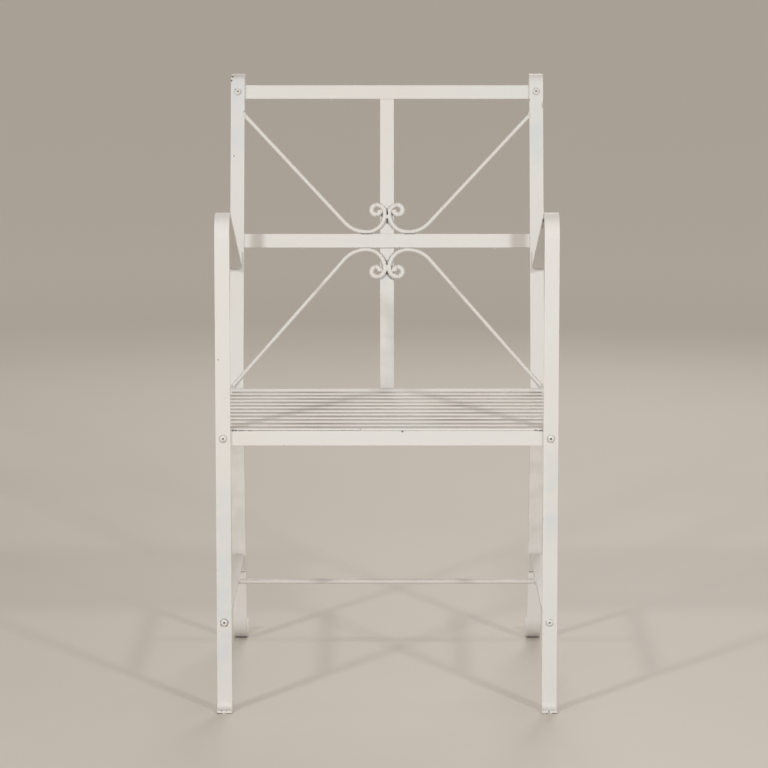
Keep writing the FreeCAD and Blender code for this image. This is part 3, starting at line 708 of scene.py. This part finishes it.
slatPaint = paintMaterial(
    "slatPaint", streaks=across, gloss=0.45, bright=0.35,
    edges=barEdges(1, slatRow["centre"], 0.03, half=slatRow["half"], pitch=slatRow["pitch"]),
    # the slats' tops darken towards their back edges: painted shade with some soil
    dust={"amount": 0.92, "lines": (2.5, 40.0, 1.0), "colour": "soil", "slats": slatRow},
    # painted shade in the joint at the front, and in the gaps near the slats' right ends
    seams=frontGaps + [((-130.0, -260.3, 418.4), (90.0, 0.6, 0.25), 0.5),
                       ((234.5, 71.0, 421.4), (3.5, 1.8, 0.6), 0.75),
                       ((229.0, 1.5, 421.4), (8.0, 1.6, 0.6), 0.60),
                       ((230.0, -33.2, 421.4), (4.5, 1.7, 0.6), 0.65),
                       ((222.5, -68.0, 421.4), (3.0, 1.6, 0.6), 0.50)])
rodPaint = paintMaterial(
    "rodPaint", streaks=(120, 120, 120), dust={"amount": 0.25},
    # painted shade where the rods meet the middle rail, and in the crease between the scrolls
    seams=[((-32.0, 184.9, 661.4), (9.0, 2.0, 0.3), 0.6), ((36.5, 184.9, 661.4), (8.0, 2.0, 0.3), 0.6),
           *eyeSeams])
# the cross rod: greyer all over, and darker on its top half
crossRodPaint = paintMaterial(
    "crossRodPaint", streaks=(12, 200, 200), dirty=0.10, gloss=0.7,
    dust={"amount": 0.55, "from": 0.05, "lines": (14.0, 120.0, 120.0)})
weldPaint = paintMaterial(
    # painted shade in the crease between the scrolls
    "weldPaint", streaks=(200, 200, 200), seams=eyeSeams[:1],
    chips=[(-224.5, 232.5, 850.5, 1.1), (-224.5, 230.0, 842.5, 1.0)])
# bolt heads: lighter all over as a painted highlight on their domes, painted shade in the sockets and a ring
# of painted shade round the rim
headPaint = paintMaterial(
    "headPaint", streaks=(300, 300, 300), bright=0.9,
    chips=[(-239.0, 239.3, 884.3, 1.1), (-234.2, 238.9, 882.6, 0.8), (-241.8, -269.7, 410.8, 0.7)],
    gaps=[(*(point + 1.5 * outward), 1.25 + 0.2 * (number % 3))
          for number, (point, outward) in enumerate(everyBolt)],
    cracks=[crack(point + 0.1 * outward, 5.3, 0.25) for point, outward in everyBolt])
# nuts: a ring of painted shade where the screw comes out
nutPaint = paintMaterial(
    "nutPaint", streaks=(300, 300, 300),
    cracks=[crack(point - boltSize["nutEnd"] * outward, 3.3, 0.8) for point, outward in everyBolt])
print("paints mixed")

nodePaints = {
    "leg_and_arm": legPaint, "back_post": postPaint, "centre_back_strip": stripPaint,
    "side_stretcher": stretcherPaint, "top_back_rail": topRailPaint, "middle_back_rail": middleRailPaint,
    "front_seat_rail": frontRailPaint, "rear_seat_rail": rearRailPaint, "seat_side_rail": sideRailPaint,
    "seat_slat": slatPaint, "scroll_rod": rodPaint, "stretcher_rod": crossRodPaint, "_bolts": headPaint,
    "_washers": nutPaint, "_nuts": nutPaint,
}
for name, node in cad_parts.items():
    found = [material for key, material in nodePaints.items() if key in name]
    for holder in node.material_slots:
        holder.material = found[0]


# Welds of the scrolled rods

rodWelds = {"endRadius": 1.15, "endInset": 0.35, "endClear": 0.15,
            "lieRadius": 0.85, "lieFrom": 17.0, "lieTo": 0.6, "lieAside": 3.1, "lieClear": 0.25,
            "centreLength": 9.0, "centreRadius": 3.0, "centreDown": 3.6, "centreForward": (1.6, -1.4),
            "tackLength": 9.0, "tackRadius": 0.9, "tackForward": -2.0, "tackSunk": 0.25}


def upperRodRing(side):
    # the rod's section where it is cut along the post: as wide as the rod, and longer by 1 / cos(its slope)
    a, b, slope = rodEnd(1)
    middle = onRod(side, 1, a - rodWelds["endInset"], b - rodWelds["endInset"] * math.tan(slope))
    radius = scrollRod["radius"] + rodWelds["endClear"]
    backwards = np.array([0, math.cos(lean), -math.sin(lean)]) * radius
    upwards = np.array([0, math.sin(lean), math.cos(lean)]) * radius / math.cos(slope)
    return ringBead(middle, backwards, upwards, rodWelds["endRadius"], seed=3 + side)


def lowerRodSide(side, aside, seed):
    # along one side of the rod's end, where it lies on the front face of the post
    endA, endB, slope = rodEnd(-1)
    points = []
    for back in (rodWelds["lieFrom"], rodWelds["lieTo"]):
        a = endA - back * math.cos(slope) - aside * math.sin(slope)
        b = endB - back * math.sin(slope) + aside * math.cos(slope)
        points.append(onBack(side * a, -barSize["halfThickness"] - rodWelds["lieClear"],
                             backPlane["midRailUp"] - b))
    return bead(*points, rodWelds["lieRadius"], 0.8, (0, -1, 0.3), seed)


def centreTack(away, forward, seed):
    # fills the groove between the two scrolls where they touch
    b = scrollRod["onRail"] + scrollRod["eyeRadii"][0] - rodWelds["centreDown"] * (away > 0)
    half = rodWelds["centreLength"] / 2
    low, high = onRod(1, away, 0.0, b - half, forward), onRod(1, away, 0.0, b + half, forward)
    return bead(low, high, rodWelds["centreRadius"], 0.55, (1, 0, 0), seed)


def railTack(side, away, seed):
    # between the rod and the middle rail's edge, at the bottom of the rod's sweep
    half = rodWelds["tackLength"] / 2
    b = scrollRod["onRail"] - scrollRod["radius"] + rodWelds["tackSunk"]
    ends = [onRod(side, away, scrollRod["startOut"] + along, b, rodWelds["tackForward"])
            for along in (-half, half)]
    return bead(*ends, rodWelds["tackRadius"], 0.9, (0, 0, 1), seed)


makePiece("scroll_rod_end_welds",
          bothSides(upperRodRing)
          + [lowerRodSide(side, aside, 5 + side)
             for side in (-1, 1) for aside in (-rodWelds["lieAside"], rodWelds["lieAside"])],
          weldPaint)
makePiece("scroll_centre_welds",
          [centreTack(away, forward, 11 + away) for away in (-1, 1) for forward in rodWelds["centreForward"]]
          + [railTack(side, away, 17 + side + 2 * away) for side in (-1, 1) for away in (-1, 1)],
          weldPaint)


# Ends of the scrolled rods. The turns are counted in quarters from the middle rail.

hammered = {"stemRadius": 3.5, "stemOut": 0.4, "stemTurns": (0.30, 0.85), "stemGone": (1.5, 2.3),
            "eyeRadius": 3.8, "eyeInset": 0.5, "eyeTurns": (1.5, 2.5), "thin": 0.96, "unevenness": 0.012,
            "tipTurns": (4.2, 5.0), "tipSwell": 0.7, "tipLength": 1.2, "tipRows": 7, "squash": 0.96,
            "domeHeight": 1.9}


def scrollEye(side, away):
    # the hammered and welded part of a scroll, a little thicker than its rod, from its first bend to the tip:
    # radius and inset follow the quarter turns made; centre(u) = end + heading * length * sin(u) and
    # radius(u) = radius * cos(u) round off the tip
    flat, turned, heading, middle = scrollPath()
    stem = step(*hammered["stemTurns"], turned) - step(*hammered["stemGone"], turned)
    curl = step(*hammered["eyeTurns"], turned)
    last = step(*hammered["tipTurns"], turned)
    inwards = middle - flat
    inwards /= np.linalg.norm(inwards, axis=1, keepdims=True)
    flat = flat + hammered["stemOut"] * stem[:, None] * np.array([1.0, 0.0])
    flat = flat + hammered["eyeInset"] * (curl * (1 - 0.5 * last))[:, None] * inwards
    thin = hammered["thin"] * scrollRod["radius"]
    radii = thin + (hammered["stemRadius"] - thin) * stem + (hammered["eyeRadius"] - thin) * curl
    radii += hammered["tipSwell"] * last
    radii *= 1 + hammered["unevenness"] * smoothNoise(len(radii), 13, 60 + side + 2 * away)
    u = np.linspace(0, math.pi / 2 * 0.97, hammered["tipRows"])[1:]
    ahead = np.array([math.cos(heading), math.sin(heading)])
    tip = flat[-1] + hammered["tipLength"] * np.sin(u)[:, None] * ahead
    flat = np.concatenate([flat, tip])
    radii = np.concatenate([radii, radii[-1] * np.cos(u)])
    return tube(onRod(side, away, flat[:, 0], flat[:, 1]), radii, hammered["squash"], (1, 0, 0.2), 20)


def lowerEndDome(side):
    # centre(u) = end + axis * height * sin(u); radius(u) = radius * cos(u), for u from 0 to nearly 90
    # degrees, with one more ring a little inside the rod
    a, b, slope = rodEnd(-1)
    end, before = (onRod(side, -1, a - back * math.cos(slope), b - back * math.sin(slope))
                   for back in (0.0, 0.01))
    axis = (end - before) / np.linalg.norm(end - before)
    u = np.linspace(0, math.pi / 2 * 0.97, hammered["tipRows"])
    centres = end + axis * (hammered["domeHeight"] * np.sin(u))[:, None]
    centres = np.concatenate([centres[:1] - axis * 0.4, centres])
    radii = scrollRod["radius"] * 0.99 * np.cos(np.concatenate([[0], u]))
    return tube(centres, radii, 1.0, (1, 0, 0), 24)


makePiece("scroll_eyes", [scrollEye(side, away) for side in (-1, 1) for away in (-1, 1)],
          rodPaint)
makePiece("scroll_rod_tips", bothSides(lowerEndDome), rodPaint)


# Welds of the rails, the centre strip, the slats and the cross rod

railWelds = {"radius": 1.5, "reach": 10.4, "inset": 0.2, "faces": (2.4, -2.2)}
stripWelds = {"halfWidth": 11.0, "railFace": 2.6, "railReach": 9.8, "railRadius": 1.2,
              "footY": 127.01, "footReach": (403.5, 421.5), "footRadius": 1.25}
# the strip's two welds along its top end: half length, how far back and down, radius and seed
stripTopWelds = ((10.2, 7.5, 11.0, 1.4, 31), (10.0, 2.3, 11.1, 0.7, 32))
slatWelds = {"faces": ((219.9, 7.5), (225.1, 5.5)), "z": 418.4, "radius": 1.25, "shift": 1.5}
sideWelds = {"x": 219.9, "ends": ((-258.0, 81), (121.8, 83)), "reach": (398.5, 416.5), "radius": 1.5}
crossWelds = {"place": (227.7, -28.09, 147.5), "back": (0, 4.2, 0), "up": (0, 0, 4.1), "radius": 1.25}


def railBead(x, back, reach, radius, squash, seed):
    # an upright bead at the middle rail, as far above its middle as below
    low, high = (onBack(x, back, backPlane["midRailUp"] + along) for along in (-reach, reach))
    return bead(low, high, radius, squash, (0, 1, 0), seed)


def postBead(side, back):
    x = side * (barSize["postInnerX"] - railWelds["inset"])
    return railBead(x, back, railWelds["reach"], railWelds["radius"], 0.7, 21 + side)


def stripBeads():
    # along the strip's top end, behind and before it, beside the middle rail and beside the rear seat rail
    parts = []
    for reach, back, down, radius, seed in stripTopWelds:
        ends = (onBack(x, back, backPlane["topRailUp"] - down) for x in (-reach, reach))
        parts.append(bead(*ends, radius, 0.6, (0, 1, 0), seed))
    for side in (-1, 1):
        x = side * stripWelds["halfWidth"]
        foot = [(x, stripWelds["footY"], z) for z in stripWelds["footReach"]]
        parts.append(railBead(x, stripWelds["railFace"], stripWelds["railReach"], stripWelds["railRadius"],
                              0.9, 33 + side))
        parts.append(bead(*foot, stripWelds["footRadius"], 0.9, (0, 1, 0), 36 + side))
    return parts


def slatBeads():
    # two short beads under each end of a slat, on the inner and outer faces of the side rail
    parts = []
    for number in range(slatRow["count"]):
        low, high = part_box("seat_slat_%02d" % (number + 1))
        middle = (low.y + high.y) / 2 / mm
        for side in (-1, 1):
            for x, reach in slatWelds["faces"]:
                shift = smoothNoise(2, 1, 40 + number * 4 + side + int(x))[0] * slatWelds["shift"]
                ends = [(side * x, middle + along + shift, slatWelds["z"]) for along in (-reach, reach)]
                parts.append(bead(*ends, slatWelds["radius"], 0.9, (0, 0, 1), 50 + number * 3 + side))
    return parts


def sideRailBeads():
    return [bead(*((side * sideWelds["x"], y, z) for z in sideWelds["reach"]), sideWelds["radius"], 0.9,
                 (1, 0, 0), seed + side) for side in (-1, 1) for y, seed in sideWelds["ends"]]


def crossRodRing(side):
    x, y, z = crossWelds["place"]
    return ringBead((side * x, y, z), crossWelds["back"], crossWelds["up"], crossWelds["radius"], 90 + side)


makePiece("middle_rail_welds", [postBead(side, back) for side in (-1, 1) for back in railWelds["faces"]],
          weldPaint)
makePiece("centre_strip_welds", stripBeads(), weldPaint)
makePiece("seat_slat_welds", slatBeads(), weldPaint)
makePiece("side_rail_welds", sideRailBeads(), weldPaint)
makePiece("cross_rod_welds", bothSides(crossRodRing), weldPaint)
makePiece("bolt_threads", [boltThread(*bolt) for bolt in everyBolt], nutPaint)


# Runs in the paint where it gathered on lower edges before it dried

runSize = {"length": 2.9, "longer": 0.5, "width": 2.3, "wider": 0.3, "depth": 2.0, "rows": 15}
paintRuns = [
    onBack(136.5, 4.0, backPlane["topRailUp"] - 9.5), onBack(157.0, 5.5, backPlane["topRailUp"] - 9.6),
    onBack(-88.0, 6.0, backPlane["topRailUp"] - 9.6), onBack(-132.0, 1.0, backPlane["midRailUp"] - 9.6),
    onBack(171.0, -1.2, backPlane["midRailUp"] - 9.6), (-96.0, -260.6, 398.0), (118.0, -261.4, 398.0),
    (64.0, 124.0, 403.0), (-171.0, 125.0, 403.0), (-222.0, -92.0, 398.0), (222.6, 40.0, 398.0),
]


def paintRun(number, top):
    # a hanging drop of one of three lengths and two widths:
    # centre(s) = top - length * s downwards; radius(s) = width / 2 * s ^ 0.6 * sqrt(1 - s ^ 5)
    length = runSize["length"] + runSize["longer"] * (number % 3)
    width = runSize["width"] + runSize["wider"] * (number % 2)
    s = np.linspace(0.004, 0.998, runSize["rows"])
    swell = s ** 0.6 * np.sqrt(1 - s ** 5)
    centres = np.asarray(top, float) - s[:, None] * length * np.array([0, 0, 1.0])
    return tube(centres, width / 2 * swell, runSize["depth"] / width, (1, 0, 0), 12)


makePiece("paint_runs", [paintRun(number, top) for number, top in enumerate(paintRuns)],
          weldPaint)
print("pieces made")


# Camera

view = {"back": 5.30409, "height": 1.223, "pitch": 8.3, "focalPixels": 3500.0, "centrePixel": 387.0,
        "frame": 768, "sensor": 36.0}
camera = bpy.data.cameras.new("camera")
camera.sensor_width = view["sensor"]
camera.lens = view["focalPixels"] / view["frame"] * camera.sensor_width
camera.shift_x = -(view["centrePixel"] - view["frame"] / 2) / view["frame"]
camera.clip_end = 200.0
cameraObject = newObject("camera", camera)
cameraObject.location = (0, -view["back"], view["height"])
cameraObject.rotation_euler = (math.radians(90 - view["pitch"]), 0, 0)
bpy.context.scene.camera = cameraObject


# Floor, in metres

floorSize = {"radius": 70.0, "innerRadius": 0.5, "rings": 14, "around": 96}
floorLook = {"first": (0.650, 0.600, 0.550, 1), "second": (0.685, 0.634, 0.583, 1),
             "far": (0.860, 0.822, 0.785, 1), "scale": 1.7, "farFrom": 1.0, "farTo": 6.0,
             "roughness": 0.6, "specular": 0.3}


def floorMaterial():
    # two pale greys in soft clouds, and lighter far from the chair: painted light that makes up for the
    # lamps' fall-off
    s = Shading("paleFloor")
    away = s.vector("LENGTH", s.place, output="Value")
    near = s.blend(s.noise(floorLook["scale"]), floorLook["first"], floorLook["second"])
    far = s.ramp(away, floorLook["farFrom"], floorLook["farTo"])
    return s.surface(s.blend(far, near, floorLook["far"]), floorLook["roughness"], floorLook["specular"])


def makeFloor():
    # a flat disc: point(i, j) = radius(i) * (cos(angle j), sin(angle j)), with a point in the middle
    around = floorSize["around"]
    angle = np.arange(around) / around * 2 * math.pi
    radii = np.geomspace(floorSize["innerRadius"], floorSize["radius"], floorSize["rings"])
    flat = np.stack([np.cos(angle), np.sin(angle), np.zeros(around)], -1)
    points = np.concatenate([(radii[:, None, None] * flat).reshape(-1, 3), np.zeros((1, 3))])
    i, j = np.meshgrid(np.arange(len(radii) - 1), np.arange(around), indexing="ij")
    k = (j + 1) % around
    faces = np.stack([i * around + j, (i + 1) * around + j, (i + 1) * around + k, i * around + k], -1)
    faces = faces.reshape(-1, 4).tolist()
    faces += [[len(radii) * around, a, (a + 1) % around] for a in range(around)]
    floor = newMesh("floor", points, faces, floorMaterial())


makeFloor()


# Light: each lamp's place and size in metres, its power in watts and its colour

studio = {"target": 0.65, "spread": 110.0, "worldStrength": 0.448, "worldColour": (1.0, 0.929, 0.830)}
softBoxes = {
    "leftSoftBox": ((-2.4, -3.9, 2.4), 0.30, 21.2, (1.0, 1.0, 1.0)),
    "rightSoftBox": ((2.1, -3.9, 2.4), 0.30, 17.4, (1.0, 1.0, 1.0)),
    "lowSoftBox": ((0.0, -5.6, 1.1), 2.0, 16.6, (0.815, 0.926, 1.0)),
    "backSoftBox": ((0.6, 4.2, 2.6), 2.0, 18.4, (1.0, 1.0, 1.0)),
}


def softBox(name, place, size, power, colour):
    # a square lamp that points at the middle of the chair
    lamp = bpy.data.lights.new(name, "AREA")
    lamp.shape, lamp.size, lamp.energy, lamp.color = "SQUARE", size, power, colour
    lamp.spread = math.radians(studio["spread"])
    light = newObject(name, lamp)
    light.location = place
    towards = Vector((0, 0, studio["target"])) - Vector(place)
    light.rotation_euler = towards.to_track_quat("-Z", "Y").to_euler()
    light.visible_camera = False


for name, values in softBoxes.items():
    softBox(name, *values)
world = bpy.data.worlds.new("studio")
bpy.context.scene.world = world
world.use_nodes = True
world.node_tree.nodes["Background"].inputs[0].default_value = (*studio["worldColour"], 1)
world.node_tree.nodes["Background"].inputs[1].default_value = studio["worldStrength"]
bpy.context.scene.view_settings.view_transform = "Standard"
print("camera, floor and lights ready")
